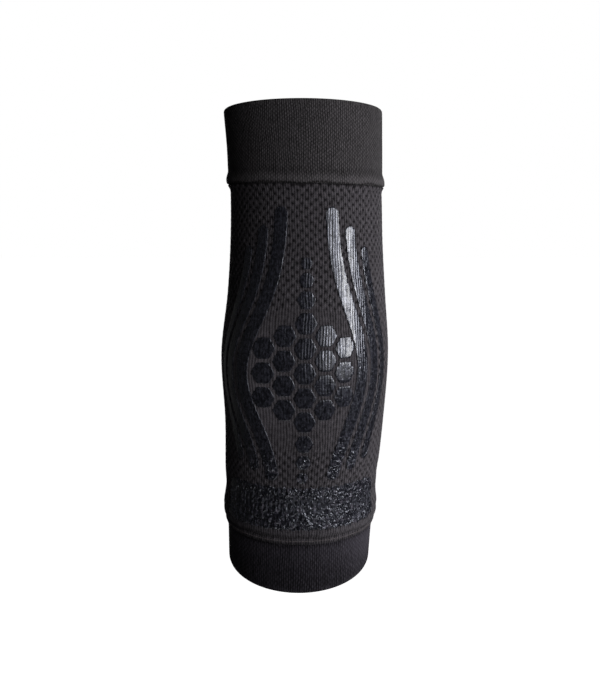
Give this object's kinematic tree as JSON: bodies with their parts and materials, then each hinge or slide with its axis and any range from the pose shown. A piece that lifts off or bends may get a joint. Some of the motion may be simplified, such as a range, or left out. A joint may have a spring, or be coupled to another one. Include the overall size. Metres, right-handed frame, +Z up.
{
  "type": "elbow support",
  "caption": "Knitted elbow compression sleeve with a folded cuff at each end and a raised, glossy silicone grip print over the elbow point, in its worn form.",
  "frame": {"origin": "middle of the arm passage at the level of the elbow", "axes": "+Z up along the upper arm, -Y out of the elbow point, +X to the right when the elbow point is looked at"},
  "size_m": [0.0861, 0.0943, 0.2495],
  "materials": {
    "sleeve_knit": "black elastic mesh knit",
    "cuff_knit": "black fine-ribbed elastic knit",
    "silicone": "glossy black silicone print"
  },
  "bodies": {
    "root": {"upper_cuff": "cuff_knit", "sleeve_body": "sleeve_knit", "lower_cuff": "cuff_knit", "pad_01": "silicone", "pad_02": "silicone", "pad_03": "silicone", "pad_04": "silicone", "pad_05": "silicone", "pad_06": "silicone", "pad_07": "silicone", "pad_08": "silicone", "pad_09": "silicone", "pad_10": "silicone", "pad_11": "silicone", "pad_12": "silicone", "pad_13": "silicone", "pad_14": "silicone", "pad_15": "silicone", "pad_16": "silicone", "pad_17": "silicone", "pad_18": "silicone", "pad_19": "silicone", "pad_20": "silicone", "pad_21": "silicone", "pad_22": "silicone", "pad_23": "silicone", "pad_24": "silicone", "pad_25": "silicone", "line_left_1": "silicone", "line_right_1": "silicone", "line_left_2": "silicone", "line_right_2": "silicone", "line_left_3": "silicone", "line_right_3": "silicone", "grip_band": "silicone"}
  },
  "joints": []
}
